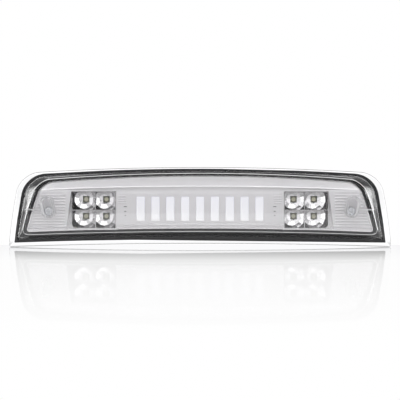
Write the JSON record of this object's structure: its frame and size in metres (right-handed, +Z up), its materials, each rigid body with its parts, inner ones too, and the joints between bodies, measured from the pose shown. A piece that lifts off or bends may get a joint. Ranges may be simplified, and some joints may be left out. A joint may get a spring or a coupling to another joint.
{
  "type": "third brake light",
  "caption": "High-mounted brake light with clear lens, opal light bars, cargo lamps at both sides and end screws for a pickup cab.",
  "frame": {"origin": "midway between the two mounting screws' axes, on the cab sheet's plane", "axes": "+X to the right looking at the lens, +Y into the cab along the mounting screws, +Z up"},
  "size_m": [0.4104, 0.061, 0.0855],
  "materials": {
    "housing_black": "fine moulded texture, satin",
    "lens_clear": "polished clear",
    "adhesive": "matte sealant",
    "foam": "closed-cell foam",
    "reflector_silver": "metallised satin",
    "cup_chrome": "metallised mirror",
    "opal_bars": "opal, smooth",
    "white_divider": "matte white",
    "board_green": "lacquered board",
    "led_package": "moulded package with phosphor",
    "chip_black": "matte",
    "plug_ivory": "moulded nylon",
    "lead_red": "satin insulation",
    "lead_black": "satin insulation",
    "small_screws": "plated",
    "sleeve_brass": "turned",
    "screw_zinc": "bright zinc",
    "seal_rubber": "matte",
    "pin_brass": "tinned brass",
    "seal_silicone": "matte silicone",
    "membrane": "woven film"
  },
  "bodies": {
    "lamp": {"rear_housing": "housing_black", "outer_lens": "lens_clear", "lens_adhesive": "adhesive", "cab_gasket": "foam", "reflector_bezel": "reflector_silver", "bezel_screws": "small_screws", "brake_diffuser": "opal_bars", "brake_cell_divider": "white_divider", "brake_led_board": "board_green", "brake_leds": "led_package", "brake_resistors": "chip_black", "brake_board_screws": "small_screws", "brake_board_header": "plug_ivory", "supply_leads": "lead_red", "left_cargo_reflector": "cup_chrome", "right_cargo_reflector": "cup_chrome", "left_cargo_board": "board_green", "right_cargo_board": "board_green", "left_cargo_leds": "led_package", "right_cargo_leds": "led_package", "cargo_resistors": "chip_black", "cargo_board_screws": "small_screws", "left_cargo_leads": "lead_black", "right_cargo_leads": "lead_black", "lead_plugs": "plug_ivory", "left_screw_sleeve": "sleeve_brass", "right_screw_sleeve": "sleeve_brass", "power_inlet": "housing_black", "inlet_pins": "pin_brass", "inlet_seal": "seal_silicone", "inlet_screws": "small_screws", "vent_caps": "housing_black", "vent_membranes": "membrane"},
    "left_washer_set": {"left_screw_washer": "screw_zinc", "left_screw_seal": "seal_rubber"},
    "left_screw": {"left_mounting_screw": "screw_zinc"},
    "right_washer_set": {"right_screw_washer": "screw_zinc", "right_screw_seal": "seal_rubber"},
    "right_screw": {"right_mounting_screw": "screw_zinc"}
  },
  "joints": [
    {"name": "left_screw_travel", "type": "slide", "parent": "lamp", "child": "left_washer_set", "axis": [0, -1, 0], "range_m": [0, 0.0108]},
    {"name": "left_screw_turn", "type": "hinge", "parent": "left_washer_set", "child": "left_screw", "pos_m": [-0.1625, 0, 0], "axis": [0, -1, 0], "range_deg": [0, 2161]},
    {"name": "right_screw_travel", "type": "slide", "parent": "lamp", "child": "right_washer_set", "axis": [0, -1, 0], "range_m": [0, 0.0108]},
    {"name": "right_screw_turn", "type": "hinge", "parent": "right_washer_set", "child": "right_screw", "pos_m": [0.1625, 0, 0], "axis": [0, -1, 0], "range_deg": [0, 2161]}
  ],
  "couplings": [
    {"joint": "left_screw_turn", "follows": "left_screw_travel", "rad_per_m": 3490.7},
    {"joint": "right_screw_turn", "follows": "right_screw_travel", "rad_per_m": 3490.7}
  ]
}
